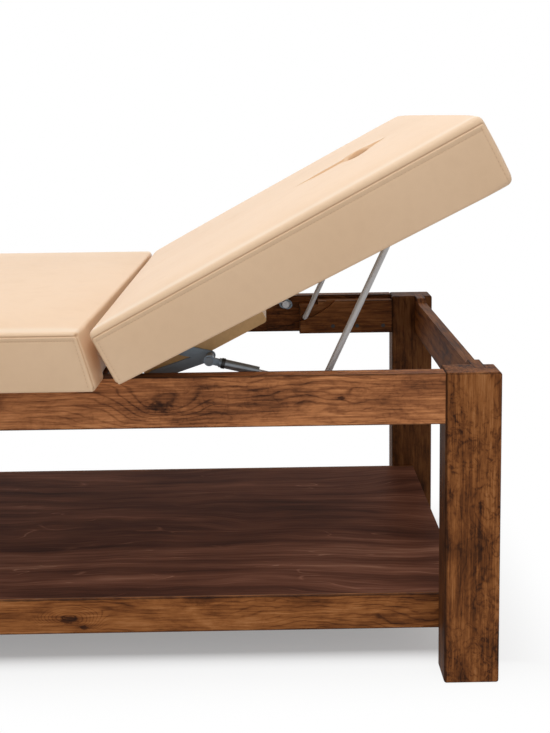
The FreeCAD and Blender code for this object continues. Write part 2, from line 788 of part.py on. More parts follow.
# Saddles that hold the prop's cross bar under the board
saddle_depth = prop_pivot_depth + prop_radius + saddle_wall


def saddle_screw_places():
    """Screws through the ears of both saddles."""
    out = saddle_length / 2 + saddle_ear / 2
    step = saddle_width / 4
    z = leg_height - leaf_thickness
    return [(prop_pivot_flat[0] + a * out, b * saddle_y + c * step, z)
            for a in (-1, 1) for b in (-1, 1) for c in (-1, 1)]


def make_saddles():
    x = prop_pivot_flat[0]
    y0 = -saddle_y - saddle_width / 2
    y1 = -saddle_y + saddle_width / 2
    low = leg_height - saddle_depth
    body = box(x - saddle_length / 2, x + saddle_length / 2, y0, y1, low, leg_height)
    low_edges = [e for e in body.Edges if e.CenterOfMass.z < low + timber_edge
                 and abs(e.CenterOfMass.y + saddle_y) < timber_edge]
    body = body.makeFillet(saddle_wall, low_edges)
    reach = saddle_length / 2 + saddle_ear
    ears = box(x - reach, x + reach, y0, y1, leg_height - leaf_thickness, leg_height)
    bore = rod_y(x, prop_pivot_flat[1], prop_radius + prop_running_clearance,
                 y0 - cut_overrun, y1 + cut_overrun)
    holes = [screw_hole_up(*place, screw_length) for place in saddle_screw_places()]
    body = body.fuse(ears).cut([bore] + holes).removeSplitter()
    pair("prop_saddle", raised(body))


# Guide blocks on the long rails
block_start = prop_foot(back_tilt)[0] - block_foot_lip
block_length = head_leg_inner - block_start
block_top = leg_height - block_top_gap
block_low = block_top - block_height


def block_screw_places():
    return [(block_start + block_length * share, block_low + block_height * block_screw_z_share)
            for share in block_screw_x_shares]


def make_guide_blocks():
    """Blocks with a curved groove that the prop's feet run along and stand in."""
    block = box(block_start, head_leg_inner, -rail_inner_y, -block_inner_y, block_low, block_top)
    step = box(block_start - cut_overrun, block_start + block_step_length, -rail_inner_y - cut_overrun,
               -block_inner_y + cut_overrun, block_top - block_step, block_top + cut_overrun)
    tilts = [back_tilt - back_extra_lift, back_tilt, back_tilt + back_extra_lift]
    path = [Vector(x, 0, z) for x, z in (prop_foot(t) for t in tilts)]
    arc = Part.Circle(*path)
    centre = arc.Center
    y0 = -block_inner_y - groove_depth
    y1 = -block_inner_y + cut_overrun
    outer = rod_y(centre.x, centre.z, arc.Radius + prop_radius + groove_seat, y0, y1)
    inner = rod_y(centre.x, centre.z, arc.Radius - prop_radius - groove_relief, y0, y1)
    groove = outer.cut(inner)
    holes = []
    screws = []
    for x, z in block_screw_places():
        face = -block_inner_y
        holes.append(rod_y(x, z, screw_radius + screw_clearance,
                           -rail_inner_y - block_screw_bite - screw_clearance, face + cut_overrun))
        shank = rod_y(x, z, screw_radius, -rail_inner_y - block_screw_bite, face)
        screw = shank.fuse(rod_y(x, z, screw_head_radius, face, face + screw_head_height / 2))
        screws += [screw, mirrored(screw)]
    pair("guide_block", block.cut([step, groove] + holes))
    parts["block_screws"] = Part.makeCompound(screws)


# Lift brackets, their studs and the screws that hold them on the pad
def in_backrest(place):
    """A place given along and below the board, in the flat pose."""
    return (back_start + place[0], leg_height - place[1])


bracket_face_y = pad_half_width + bracket_thickness


def bracket_screw_places():
    return [in_backrest(bracket_low_foot), in_backrest(bracket_high_foot)]


def make_lift_brackets():
    y0 = -bracket_face_y
    y1 = -pad_half_width
    low = bar_outline(in_backrest(bracket_low_foot), lift_pivot_flat, bracket_bar_width, y0, y1)
    high = bar_outline(in_backrest(bracket_high_foot), lift_pivot_flat, bracket_bar_width, y0, y1)
    holes = [rod_y(lift_pivot_flat[0], lift_pivot_flat[1], lift_stud_radius + screw_clearance,
                   y0 - cut_overrun, y1 + cut_overrun)]
    for x, z in bracket_screw_places():
        holes.append(rod_y(x, z, screw_radius + screw_clearance, y0 - cut_overrun, y1 + cut_overrun))
    pair("lift_bracket", raised(low.fuse(high).cut(holes).removeSplitter()))
    x, z = lift_pivot_flat
    eye_inner = strut_plane - strut_eye_thickness / 2 - strut_eye_side_gap
    eye_outer = strut_plane + strut_eye_thickness / 2 + strut_eye_side_gap
    shank = rod_y(x, z, lift_stud_radius, -eye_outer, y1)
    collar = rod_y(x, z, lift_stud_collar_radius, -eye_inner, y0)
    head = rod_y(x, z, lift_stud_head_radius, -eye_outer - lift_stud_head_thickness, -eye_outer)
    pair("lift_stud", raised(shank.fuse([collar, head])))


def make_backrest_screws():
    """The short screws of the backrest: hinge leaves, saddles and lift brackets."""
    places = board_leaf_screw_places() + saddle_screw_places()
    screws = [screw_down(*place, screw_length) for place in places]
    for x, z in bracket_screw_places():
        shank = rod_y(x, z, screw_radius, -bracket_face_y, -pad_half_width + screw_length)
        head = rod_y(x, z, screw_head_radius, -bracket_face_y - screw_head_height, -bracket_face_y)
        screw = shank.fuse(head)
        screws += [screw, mirrored(screw)]
    parts["backrest_screws"] = raised(Part.makeCompound(screws))


# Struts, drawn along +X from the eye and then set in place
lift_pivot = turned(lift_pivot_flat, pin_xz, back_tilt)
strut_run = math.hypot(anchor[0] - lift_pivot[0], anchor[1] - lift_pivot[1])
strut_slope = math.degrees(math.atan2(anchor[1] - lift_pivot[1], anchor[0] - lift_pivot[0]))
strut_tube_start = strut_neck_length
strut_tube_end = strut_tube_start + strut_tube_length


def set_strut(shape):
    copy = shape.copy()
    copy.rotate(Vector(0, 0, 0), across, -strut_slope)
    copy.translate(Vector(lift_pivot[0], -strut_plane, lift_pivot[1]))
    return copy


def make_struts():
    """Eye, collar, tube, rod and slotted end of the two gas struts."""
    half = strut_eye_thickness / 2
    eye = rod_y(0, 0, strut_eye_radius, -half, half)
    neck_half = strut_eye_radius * strut_neck_share
    neck = box(0, strut_tube_start - strut_flange_length, -half, half, -neck_half, neck_half)
    flange = rod_x(0, 0, strut_tube_radius, strut_tube_start - strut_flange_length, strut_tube_start)
    bore = rod_y(0, 0, lift_stud_radius + running_clearance, -strut_eye_radius, strut_eye_radius)
    pair("strut_eye", set_strut(eye.fuse([neck, flange]).cut(bore).removeSplitter()))
    collar = rod_x(0, 0, strut_collar_radius, strut_tube_start, strut_tube_start + strut_collar_length)
    collar = collar.cut(rod_x(0, 0, strut_tube_radius + screw_clearance, strut_tube_start - cut_overrun,
                              strut_tube_end))
    pair("strut_collar", set_strut(collar))
    tube = rod_x(0, 0, strut_tube_radius, strut_tube_start, strut_tube_end)
    hollow_radius = strut_tube_radius - strut_tube_wall
    hollow = rod_x(0, 0, hollow_radius, strut_tube_start + strut_tube_wall, strut_tube_end - strut_cap_length)
    guide = rod_x(0, 0, strut_rod_radius + running_clearance, strut_tube_end - strut_cap_length * 2,
                  strut_tube_end + cut_overrun)
    pair("strut_tube", set_strut(tube.cut([hollow, guide])))
    plate_half_length = slot_slack_along + stud_radius + slot_plate_rim
    plate_half_height = slot_slack_across + stud_radius + slot_plate_rim
    plate_start = strut_run - plate_half_length
    piston_start = strut_tube_start + strut_piston_start
    rod = rod_x(0, 0, strut_rod_radius, piston_start, plate_start)
    piston = rod_x(0, 0, hollow_radius - running_clearance, piston_start, piston_start + strut_piston_length)
    pair("strut_rod", set_strut(rod.fuse(piston)))
    y = slot_plate_thickness / 2
    centre_shift = plate_half_length - plate_half_height
    plate = bar_outline((strut_run - centre_shift, 0), (strut_run + centre_shift, 0),
                        plate_half_height * 2, -y, y)
    shift = slot_slack_along - slot_slack_across
    slot = bar_outline((strut_run - shift, 0), (strut_run + shift, 0),
                       (stud_radius + slot_slack_across) * 2, -y - cut_overrun, y + cut_overrun)
    pair("strut_slot_plate", set_strut(plate.cut(slot)))


def make_rail_studs():
    """Studs on the long rails that the slotted ends of the struts hang on."""
    x, z = anchor
    inner = strut_plane - slot_plate_thickness / 2 - stud_side_gap
    flange = rod_y(x, z, stud_flange_radius, -rail_inner_y, -rail_inner_y + stud_flange_thickness)
    shank = rod_y(x, z, stud_radius, -rail_inner_y - stud_bite + screw_clearance, -inner)
    head = rod_y(x, z, stud_head_radius, -inner, -inner + stud_head_thickness)
    pair("rail_stud", flange.fuse([shank, head]))


def main():
    os.makedirs("parts", exist_ok=True)
    make_legs()
    make_long_rails()
    make_end_rails()
    make_shelf()
    make_frame_bolts()
    make_cross_rails()
    make_base_cushion()
    make_backrest()
    make_hinges()
    make_pad()
    make_prop()
    make_saddles()
    make_guide_blocks()
    make_lift_brackets()
    make_backrest_screws()
    make_struts()
    make_rail_studs()
    for name, shape in parts.items():
        shape.exportStep("parts/" + name + ".step")
    print(len(parts), "nodes")


main()
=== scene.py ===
import json
import math

import bpy
import numpy as np
from mathutils import Matrix, Vector
from mathutils.bvhtree import BVHTree


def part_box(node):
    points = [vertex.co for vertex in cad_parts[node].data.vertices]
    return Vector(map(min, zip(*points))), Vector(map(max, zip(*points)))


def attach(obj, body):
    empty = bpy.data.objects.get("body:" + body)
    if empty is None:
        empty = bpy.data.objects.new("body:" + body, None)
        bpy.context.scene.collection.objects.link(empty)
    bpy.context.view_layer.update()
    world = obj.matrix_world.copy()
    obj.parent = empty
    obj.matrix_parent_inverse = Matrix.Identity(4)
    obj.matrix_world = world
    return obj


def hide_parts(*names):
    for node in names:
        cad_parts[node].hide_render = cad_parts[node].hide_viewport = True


# Looks of the treatment bed, in metres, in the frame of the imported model
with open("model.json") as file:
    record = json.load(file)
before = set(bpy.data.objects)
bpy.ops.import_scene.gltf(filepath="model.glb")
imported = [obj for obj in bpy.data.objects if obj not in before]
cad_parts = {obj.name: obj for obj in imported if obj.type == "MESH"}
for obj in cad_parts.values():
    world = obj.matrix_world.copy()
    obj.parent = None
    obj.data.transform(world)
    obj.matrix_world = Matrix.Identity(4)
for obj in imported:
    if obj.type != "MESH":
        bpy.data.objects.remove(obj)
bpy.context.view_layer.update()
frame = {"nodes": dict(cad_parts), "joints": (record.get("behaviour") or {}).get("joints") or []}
scene = bpy.context.scene
nodes = frame["nodes"]
mm = 0.001

# Picture
picture_height = 733
camera_place = (0.5483, -1.7114, 0.9285)
camera_yaw = -0.5
camera_pitch = 84.4
camera_roll = -0.7
focal_pixels = 896.5
horizon_shift = -0.2221
sensor_width = 36.0

# Backrest hinge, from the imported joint, and how far the backrest is up at rest
tilt_joint = next(j for j in frame["joints"] if j["name"] == "back_tilt")
pin = Vector(tilt_joint["pos_m"])
rest_tilt = math.radians(27.5)


# ---------------------------------------------------------------- materials

class Value:
    """A number or colour on its way through a material; the usual signs add its maths."""

    def __init__(self, paint, socket):
        self.paint = paint
        self.socket = socket

    def maths(self, operation, *terms):
        return self.paint.node("ShaderNodeMath", {"operation": operation}, dict(enumerate(terms)))

    def __add__(self, other):
        return self.maths("ADD", self, other)

    def __radd__(self, other):
        return self.maths("ADD", other, self)

    def __sub__(self, other):
        return self.maths("SUBTRACT", self, other)

    def __rsub__(self, other):
        return self.maths("SUBTRACT", other, self)

    def __mul__(self, other):
        return self.maths("MULTIPLY", self, other)

    def __rmul__(self, other):
        return self.maths("MULTIPLY", other, self)

    def __pow__(self, other):
        return self.maths("POWER", self, other)

    def size(self):
        return self.maths("ABSOLUTE", self)

    def wave(self):
        """Sine, brought to 0 to 1."""
        return self.maths("SINE", self * math.tau) * 0.5 + 0.5

    def least(self, other):
        return self.maths("MINIMUM", self, other)

    def most(self, other):
        return self.maths("MAXIMUM", self, other)

    def step(self, low, high):
        """0 at low and 1 at high, smooth between them."""
        return self.paint.node("ShaderNodeMapRange", {"interpolation_type": "SMOOTHSTEP"},
                               {"Value": self, "From Min": low, "From Max": high})


class Paint:
    """One material, whose nodes read the place on the object."""

    def __init__(self, name):
        self.material = bpy.data.materials.new(name)
        self.material.use_nodes = True
        self.tree = self.material.node_tree
        self.shader = self.tree.nodes["Principled BSDF"]
        self.place = self.node("ShaderNodeTexCoord", {}, {}, "Object")
        self.axes = [self.node("ShaderNodeSeparateXYZ", {}, {0: self.place}, axis) for axis in "XYZ"]

    def node(self, kind, settings, inputs, output=0):
        made = self.tree.nodes.new(kind)
        for key, value in settings.items():
            if key == "stops":
                stops = made.color_ramp.elements
                while len(stops) < len(value):
                    stops.new(0.5)
                for stop, (position, colour) in zip(stops, value):
                    stop.position = position
                    stop.color = (*colour, 1)
            else:
                setattr(made, key, value)
        for key, value in inputs.items():
            if isinstance(value, Value):
                self.tree.links.new(value.socket, made.inputs[key])
            else:
                made.inputs[key].default_value = value
        return Value(self, made.outputs[output])

    def vector(self, x, y, z):
        return self.node("ShaderNodeCombineXYZ", {}, {0: x, 1: y, 2: z})

    def noise(self, where, scale, detail=3.0, rough=0.55, swirl=0.0):
        return self.node("ShaderNodeTexNoise", {}, {"Vector": where, "Scale": scale, "Detail": detail,
                                                    "Roughness": rough, "Distortion": swirl})

    def cells(self, where, scale):
        return self.node("ShaderNodeTexVoronoi", {"feature": "SMOOTH_F1"}, {"Vector": where, "Scale": scale})

    def mix(self, share, first, second):
        first = first if isinstance(first, Value) else (*first, 1)
        second = second if isinstance(second, Value) else (*second, 1)
        return self.node("ShaderNodeMix", {"data_type": "RGBA"}, {0: share, 6: first, 7: second}, 2)

    def ramp(self, share, stops):
        return self.node("ShaderNodeValToRGB", {"stops": stops}, {"Fac": share})

    def finish(self, height=None, depth=0.0, **sockets):
        """Sets the shader's sockets, and bumps it by the height, which is depth metres at 1."""
        for key, value in sockets.items():
            socket = self.shader.inputs[key.replace("_", " ")]
            if isinstance(value, Value):
                self.tree.links.new(value.socket, socket)
            elif isinstance(value, tuple):
                socket.default_value = (*value, 1)
            else:
                socket.default_value = value
        if height is not None:
            bump = self.node("ShaderNodeBump", {}, {"Strength": 1.0, "Distance": depth, "Height": height})
            self.tree.links.new(bump.socket, self.shader.inputs["Normal"])
        return self.material


def arris(paint, low, high):
    """Distance from the nearest long edge of a box-shaped timber."""
    reach = []
    for axis, a, b in zip(paint.axes, low, high):
        reach.append((b - a) / 2 - (axis - (a + b) / 2).size())
    x, y, z = reach
    return x.least(y).most(x.most(y).least(z))


def shaded_top(paint, node_box, colour):
    """The near rail's top lies in the dark under the cushions."""
    along, _, up = paint.axes
    top = node_box[1][2]
    under_pads = 1 - along.step(0.33, 0.52)
    return paint.mix(up.step(top - 1.5 * mm, top - 0.2 * mm) * under_pads * 0.8, colour, (0.012, 0.005, 0.003))


def shaded_inside(paint, node_box, colour):
    """The near leg's inner face gets hardly any light."""
    inner_face = node_box[0][0]
    inner = 1 - paint.axes[0].step(inner_face + 1.5 * mm, inner_face + 5 * mm)
    return paint.mix(inner * 0.66, colour, (0.024, 0.007, 0.002))


def timber(name, grain, tone, marks, contrast, node_box, shift, knots, depth_of_colour, shaded):
    """Stained solid wood: streaks, year lines that bend round the knots, curly flecks, dark arrises."""
    paint = Paint(name)
    order = {"x": (0, 1, 2), "y": (1, 2, 0), "z": (2, 0, 1)}[grain]
    along, across, up = (paint.axes[i] for i in order)
    drift = paint.noise(paint.vector(along * 2.2 + shift, across * 7 + shift, up * 7), 1.0, 3.0, 0.5)
    wander = paint.noise(paint.vector(along * 14 + shift, across * 30, up * 30), 1.0, 3.0, 0.55)
    phase = up * 95 + across * 60 + drift * 16 + wander * 2.4
    heart = 0.0
    eye = 0.0
    if knots:
        rag = paint.noise(paint.vector(along * 130 + shift, across * 160, up * 190), 1.0, 3.0, 0.6) - 0.5
    for spot in knots:
        a, c, u = (spot[i] for i in order)
        size, rings = spot[3:]
        out = ((along - a) * 0.42) ** 2 + (up - u) ** 2 + ((across - c) * 0.8) ** 2
        out = out ** 0.5 + (wander - 0.5) * size * 1.6 + (drift - 0.5) * size * 2.5
        phase = phase + (1 - out.step(0.0, size * 5.0)) * rings
        eye = (1 - out.step(size * 2.5, size * 4.5)) * min(1.0, rings / 6) + eye
        core = 1 - (out + rag * size * 2.4).step(size * 0.15, size * 1.25)
        halo = 1 - out.step(0.0, size * 3.2)
        heart = core * 0.27 + halo * 0.10 + heart
    line = phase.wave() ** 7
    faint = paint.noise(paint.vector(along * 5 + shift, across * 9, up * 9), 1.0, 2.0, 0.5)
    streak = paint.noise(paint.vector(along * 4.2 + shift, across * 85, up * 85), 1.0, 5.0, 0.66)
    fibre = paint.noise(paint.vector(along * 22 + shift, across * 430, up * 430), 1.0, 4.0, 0.65)
    cloud = paint.noise(paint.vector(along * 6.5 + shift, across * 15, up * 15), 1.0, 5.0, 0.62, 0.9)
    curl = paint.noise(paint.vector(along * 62 + shift, across * 75, up * 75), 1.0, 4.0, 0.62, 1.6)
    where = paint.noise(paint.vector(along * 4 + shift * 2, across * 6, up * 6), 1.0, 2.0, 0.5)
    flecks = curl.step(0.42, 0.86) * where.step(0.30, 0.62) * marks
    years = line * (faint.step(0.38, 0.62) + eye).least(1.0) * 0.15
    share = ((streak - 0.5) * 0.95 * contrast + (cloud - 0.5) * contrast + (fibre - 0.5) * 0.7 + 0.585
             - years - flecks - heart)
    colour = paint.ramp(share, [(0.0, (0.016, 0.0062, 0.0035)), (0.27, (0.062, 0.0205, 0.0075)),
                                (0.47, (0.190, 0.062, 0.0175)), (0.66, (0.350, 0.128, 0.037)),
                                (0.95, (0.540, 0.235, 0.088))])
    edge = arris(paint, *node_box)
    worn = paint.noise(paint.place, 45.0, 3.0, 0.6)
    dark_edge = (1 - (edge + (worn - 0.5) * 0.004).step(0.0004, 0.0034)) * 0.7
    colour = paint.mix(dark_edge, colour, (0.013, 0.0055, 0.004))
    if shaded:
        colour = shaded(paint, node_box, colour)
    colour = paint.node("ShaderNodeHueSaturation", {}, {"Color": colour, "Value": tone,
                                                        "Saturation": depth_of_colour})
    return paint.finish(height=fibre * 0.5 + streak * 0.5 - line * 0.15, depth=0.00045, Base_Color=colour,
                        Roughness=0.50 + fibre * 0.2, Specular_IOR_Level=0.09)


def shelf_wood(name, node_box):
    """Dark brown panel with long reddish streaks, a few bright hairs, a painted highlight along its long edges
    and a satin sheen.
    """
    paint = Paint(name)
    along, across, up = paint.axes
    sway = paint.noise(paint.vector(along * 1.6, across * 4.5, up), 1.0, 3.0, 0.5)
    lane = across + sway * 0.16
    streak = paint.noise(paint.vector(along * 1.5, lane * 30, up), 1.0, 5.0, 0.62)
    thread = paint.noise(paint.vector(along * 6.0, lane * 210, up), 1.0, 4.0, 0.62)
    cloud = paint.noise(paint.vector(along * 2.2, lane * 9, up), 1.0, 3.0, 0.55)
    hair = paint.noise(paint.vector(along * 3.2, lane * 26 + 7.0, up), 1.0, 2.0, 0.5)
    patch = paint.noise(paint.vector(along * 9.0, across * 14, up), 1.0, 2.0, 0.5)
    ridge = (1 - ((hair - 0.5).size() * 2).step(0.0, 0.020)) * patch.step(0.50, 0.62)
    share = (streak - 0.5) * 1.7 + (thread - 0.5) * 0.9 + (cloud - 0.5) * 1.3 + 0.43 + ridge * 0.36
    colour = paint.ramp(share, [(0.0, (0.064, 0.0245, 0.0160)), (0.30, (0.112, 0.0430, 0.0270)),
                                (0.55, (0.184, 0.0720, 0.0440)), (0.80, (0.290, 0.1230, 0.0780)),
                                (1.0, (0.440, 0.2200, 0.1400))])
    # Painted highlight: a thin light line along both long edges
    rim = (across.size() - (node_box[1][1] - 0.0012)).step(-0.0004, 0.0004)
    colour = paint.mix(rim * 0.55, colour, (0.26, 0.15, 0.10))
    return paint.finish(height=thread, depth=0.00012, Base_Color=colour, Roughness=0.38 + thread * 0.10,
                        Specular_IOR_Level=0.006)


def plain_wood(name, dark, light, grain=0, rough=0.5):
    """Unstained or clear finished wood with quiet grain."""
    paint = Paint(name)
    stretch = [90.0, 90.0, 90.0]
    stretch[grain] = 4.0
    x, y, z = (axis * s for axis, s in zip(paint.axes, stretch))
    streak = paint.noise(paint.vector(x, y, z), 1.0, 5.0, 0.6, 0.4)
    cloud = paint.noise(paint.place, 9.0, 3.0, 0.55)
    share = streak.step(0.28, 0.75) * 0.7 + cloud * 0.3
    return paint.finish(height=streak, depth=0.00012, Base_Color=paint.mix(share, dark, light),
                        Roughness=rough + streak * 0.12)


# Whitish colour of the painted highlights on the cushion covers
painted_highlight_colour = (0.93, 0.84, 0.70)


def leatherette(name, base, deep, lit):
    """Coated fabric: a fine pebble, soft clouds of colour, dark in the seams and in painted shade, pale in
    painted highlights.
    """
    paint = Paint(name)
    pebble = paint.cells(paint.place, 780.0)
    fine = paint.noise(paint.place, 1500.0, 2.0, 0.5)
    cloud = paint.noise(paint.place, 4.5, 3.0, 0.5)
    rub = paint.noise(paint.place, 30.0, 4.0, 0.6)
    seam = paint.node("ShaderNodeAttribute", {"attribute_name": "seam"}, {}, "Fac")
    colour = paint.mix(cloud.step(0.3, 0.7), base, lit)
    colour = paint.mix((rub - 0.5).size() * 0.25, colour, deep)
    # Seam tones above 0: dark seams and painted shade
    colour = paint.mix(seam * 0.5, colour, deep)
    # Seam tones below 0: painted highlight
    colour = paint.mix((0 - seam) * 0.8, colour, painted_highlight_colour)
    return paint.finish(height=pebble * 0.7 + fine * 0.3, depth=0.00011, Base_Color=colour,
                        Roughness=0.40 + rub * 0.12, Specular_IOR_Level=0.42)


def metal(name, colour, rough, scratch, dark=(0.05, 0.05, 0.055), patch=0.2, metallic=1.0):
    """Bright or painted metal with faint drawing lines and dull patches."""
    paint = Paint(name)
    along, across, up = paint.axes
    lines = paint.noise(paint.vector(along * 60, across * 900, up * 900), 1.0, 3.0, 0.6)
    spots = paint.noise(paint.place, 70.0, 4.0, 0.6)
    tone = paint.mix(spots.step(0.5, 0.85) * patch, colour, dark)
    return paint.finish(height=lines, depth=scratch, Base_Color=tone, Metallic=metallic,
                        Roughness=rough + spots * 0.18)


def plastic(name, colour, rough):
    """Moulded plastic with a fine grain and a little dust."""
    paint = Paint(name)
    grain = paint.noise(paint.place, 1200.0, 2.0, 0.5)
    dust = paint.noise(paint.place, 90.0, 4.0, 0.6)
    tone = paint.mix(dust.step(0.55, 0.9) * 0.35, colour, tuple(c * 2.2 + 0.02 for c in colour))
    return paint.finish(height=grain, depth=0.00005, Base_Color=tone, Roughness=rough + dust * 0.15)


def wear(node, material):
    """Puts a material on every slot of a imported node."""
    thing = nodes[node]
    if not thing.material_slots:
        thing.data.materials.append(material)
    for slot in thing.material_slots:
        slot.material = material


# Grain direction, tone, how flecked and how contrasted each timber is
timbers = [
    ("leg_head_near", "z", 0.94, 0.50, 1.0), ("leg_head_far", "z", 0.42, 0.34, 1.0),
    ("leg_foot_near", "z", 0.92, 0.44, 1.0), ("leg_foot_far", "z", 0.80, 0.34, 1.0),
    ("long_rail_near", "x", 1.68, 0.17, 0.72), ("long_rail_far", "x", 0.72, 0.20, 1.0),
    ("end_rail_head", "y", 0.76, 0.14, 1.0), ("end_rail_foot", "y", 0.90, 0.14, 1.0),
    ("hinge_rail", "y", 0.80, 0.14, 1.0), ("cross_rail_1", "y", 0.85, 0.14, 1.0),
    ("cross_rail_2", "y", 0.80, 0.14, 1.0),
    ("lower_rail_near", "x", 1.10, 0.10, 0.95), ("lower_rail_far", "x", 0.85, 0.08, 1.0),
    ("shelf_bearer_1", "y", 0.80, 0.14, 1.0), ("shelf_bearer_2", "y", 0.85, 0.14, 1.0),
    ("shelf_bearer_3", "y", 0.80, 0.14, 1.0), ("shelf_bearer_4", "y", 0.85, 0.14, 1.0),
    ("guide_block_near", "x", 0.66, 0.18, 1.0), ("guide_block_far", "x", 0.64, 0.18, 1.0),
]
# Timbers with a paler colour, and timbers with one face in the dark
paler = {"long_rail_near": 0.95}
shades = {"long_rail_near": shaded_top, "leg_head_near": shaded_inside}
pattern_step = 1.37
# Dark knots: place on the timber, radius and how far the year lines bend
knots = {
    "long_rail_near": [(0.372, -0.329, 0.473, 0.0085, 3.0), (0.660, -0.329, 0.482, 0.0028, 0.0)],
    "lower_rail_near": [(0.205, -0.277, 0.090, 0.0060, 9.0), (0.232, -0.277, 0.076, 0.0036, 2.0)],
    "leg_head_near": [(0.885, -0.331, 0.300, 0.0050, 1.5)],
    "long_rail_far": [(0.100, 0.329, 0.470, 0.0070, 3.0)],
    "leg_foot_far": [(-0.830, 0.331, 0.210, 0.0060, 3.0)],
}
for number, (node, grain, tone, marks, contrast) in enumerate(timbers, 1):
    wear(node, timber("stained_" + node, grain, tone, marks, contrast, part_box(node), pattern_step * number,
                      knots.get(node, []), paler.get(node, 1.0), shades.get(node)))

wear("shelf_panel", shelf_wood("shelf_streaks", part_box("shelf_panel")))
plywood = plain_wood("birch_plywood", (0.42, 0.27, 0.14), (0.66, 0.49, 0.30))
for node in ("base_board", "backrest_board"):
    wear(node, plywood)
wear("lift_pad", plain_wood("tan_pad", (0.62, 0.375, 0.155), (0.73, 0.46, 0.205), 1, 0.42))
wear("dowels", plain_wood("beech_dowel", (0.45, 0.29, 0.16), (0.62, 0.44, 0.27), 1))

rod_steel = metal("zinc_rod", (0.62, 0.61, 0.61), 0.40, 0.00003, (0.36, 0.35, 0.35), 0.2, 0.15)
plated = metal("plated_steel", (0.50, 0.50, 0.51), 0.32, 0.00004, (0.2, 0.2, 0.2), 0.2, 0.6)
stud_steel = metal("dark_stud", (0.16, 0.18, 0.20), 0.38, 0.00003, (0.06, 0.07, 0.08), 0.25, 0.4)
strut_paint = metal("blue_grey_paint", (0.21, 0.265, 0.32), 0.34, 0.00002, (0.08, 0.10, 0.13), 0.3, 0.2)
strut_tube = metal("strut_tube", (0.23, 0.255, 0.28), 0.26, 0.00002, (0.08, 0.09, 0.10), 0.3, 0.6)
black = plastic("black_moulding", (0.012, 0.012, 0.013), 0.38)
for side in ("_near", "_far"):
    wear("lift_stud" + side, stud_steel)
    for node in ("strut_rod", "rail_stud", "hinge_pin"):
        wear(node + side, plated)
    for node in ("strut_eye", "lift_bracket", "strut_slot_plate"):
        wear(node + side, strut_paint)
    for node in ("hinge_frame_leaf", "hinge_back_leaf"):
        wear(node + side, plated)
    wear("strut_tube" + side, strut_tube)
    for node in ("strut_collar", "prop_saddle"):
        wear(node + side, black)
wear("prop_frame", rod_steel)
for node in ("frame_bolts", "barrel_nuts", "base_board_screws", "hinge_rail_screws", "backrest_screws",
             "pad_screws"):
    wear(node, plated)
oxide = metal("black_oxide", (0.045, 0.040, 0.038), 0.42, 0.00003, (0.02, 0.018, 0.016), 0.3, 0.6)
for node in ("block_screws", "bearer_screws"):
    wear(node, oxide)

cream = leatherette("cream_leatherette", (0.815, 0.562, 0.355), (0.42, 0.22, 0.10), (0.845, 0.592, 0.382))
thread = leatherette("seam_thread", (0.66, 0.44, 0.27), (0.34, 0.19, 0.10), (0.72, 0.50, 0.32))


# ---------------------------------------------------------------- cushions

# Grid lines: in from an edge, down a side and in under the board
edge_steps = np.array([0.0, 2.0, 4.0, 6.5, 10.0, 16.0]) * mm
grid_step = 10 * mm
roll_shares = np.array([0.0, 0.2, 0.4, 0.6, 0.8])
seam_steps = np.array([-0.8, 0.0, 0.7, 1.5, 2.4, 4.0, 5.8, 7.0, 8.2, 11]) * mm
side_steps = np.array([26.0, 34.0, 43.0, 53.0, 63.0, 73.0, 80.5]) * mm
centre_steps = np.array([-11.0, -7.0, -4.0, -1.8, 0.0, 1.8, 4.0, 7.0, 11.0]) * mm
foot_steps = np.array([85.0, 88.0, 90.0, 93.0]) * mm
rim_insets = np.array([2.0, 5.0, 8.5, 11.2]) * mm
seam_clearance = 1.2 * mm
start_shrink = 0.4 * mm
slit_lane = 15 * mm

# Corners and rolled edges
back_hinge_radius = 9.5 * mm
base_hinge_radius = 9 * mm
end_radius = 15 * mm
base_roll = 5.5 * mm
back_roll = 9.5 * mm
end_roll = 10 * mm
end_roll_reach = 45 * mm
foot_roll = 3.2 * mm
hinge_foot_radius = 8 * mm

# How the covers lean, bow and grow towards the head end
base_rakes = (21 * mm, 11 * mm)
back_growth = (10 * mm, 12 * mm)
base_bow = 5 * mm
back_bow = 12 * mm
lean_reach = 90 * mm
base_flare = 8.5 * mm
flare_from = 325 * mm
flare_to = 348 * mm

# Seam, doubled cloth beside it, stitches, and the painted highlight band along the top
base_seam_depth = 6 * mm
back_seam_depth = 10.5 * mm
side_band = 9 * mm
seam_end_inset = 2.6 * mm
seam_corner = 4.5 * mm
stitch_offset = 7.0 * mm
groove_depth = 1.1 * mm
groove_width = 0.9 * mm
band_rise = 0.75 * mm
band_place = 2.1 * mm
band_width = 1.7 * mm
second_band_place = 4.4 * mm
second_band_width = 2 * mm
row_depth = 0.45 * mm
row_width = 1.2 * mm
pucker_rise = 0.28 * mm
stitch_pitch = 5.6 * mm
stitch_length = 4.2 * mm
stitch_radius = 0.42 * mm
stitch_foot = 5 * mm
tuck_radius = 2.6 * mm
tuck_depth = 1.6 * mm
tuck_rise = 0.5 * mm
# Painted highlight band on the top: how far in from the long edges, how wide and how strong
highlight_band_place = 15 * mm
highlight_band_width = 11 * mm
highlight_band_share = 0.42

# Cloth run
cloth_frames = 20
puff_pressure = 4.0
top_cap = 7.5 * mm
side_cap = 2.6 * mm
held_side = 9 * mm
held_edge = 16 * mm
held_corner = 14 * mm
held_foot = 9 * mm
smooth_angle = 60


def levels(start, end):
    """Places of the grid lines: close by both edges, even between them."""
    first = start + edge_steps[-1]
    last = end - edge_steps[-1]
    inner = np.linspace(first, last, round((last - first) / grid_step) + 1)
    return np.concatenate([start + edge_steps[:-1], inner, end - edge_steps[-2::-1]])


def points_of(piece):
    """Places of all points, one row each."""
    co = np.zeros(len(piece.data.vertices) * 3, np.float32)
    piece.data.vertices.foreach_get("co", co)
    return co.reshape(-1, 3).astype(float)


